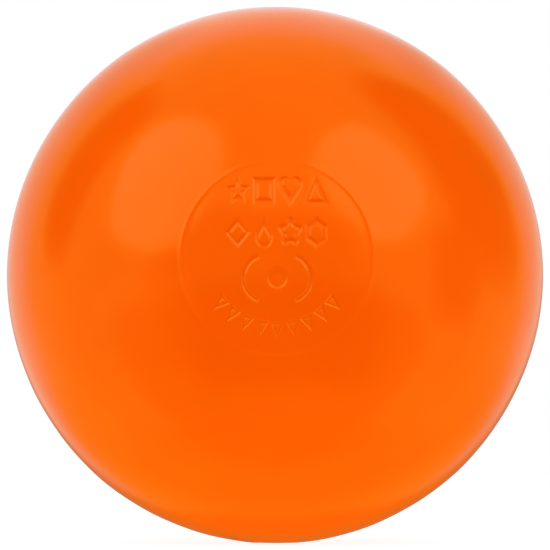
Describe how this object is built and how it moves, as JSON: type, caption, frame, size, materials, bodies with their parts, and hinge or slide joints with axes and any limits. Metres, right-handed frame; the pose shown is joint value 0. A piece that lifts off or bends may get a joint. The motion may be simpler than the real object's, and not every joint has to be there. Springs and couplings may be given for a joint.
{
  "type": "play pool ball",
  "caption": "Hollow glossy plastic play ball with a small sunken emblem, used to fill ball pits and play pools.",
  "frame": {"origin": "centre of the ball", "axes": "+Y is the axis that the mould opens along, from the emblem to the blow hole; +Z is the emblem's up and +X its right as seen from the front"},
  "size_m": [0.075, 0.075, 0.075],
  "materials": {
    "front_shell_plastic": "glossy moulded polythene, orange all through",
    "rear_shell_plastic": "glossy moulded polythene, orange all through",
    "weld_plastic": "fused polythene, uneven and less glossy than the skin",
    "plug_plastic": "fused polythene, slightly duller than the skin"
  },
  "bodies": {
    "root": {"front_half_shell": "front_shell_plastic", "rear_half_shell": "rear_shell_plastic", "seam_weld_bead": "weld_plastic", "blow_hole_plug": "plug_plastic"}
  },
  "joints": []
}
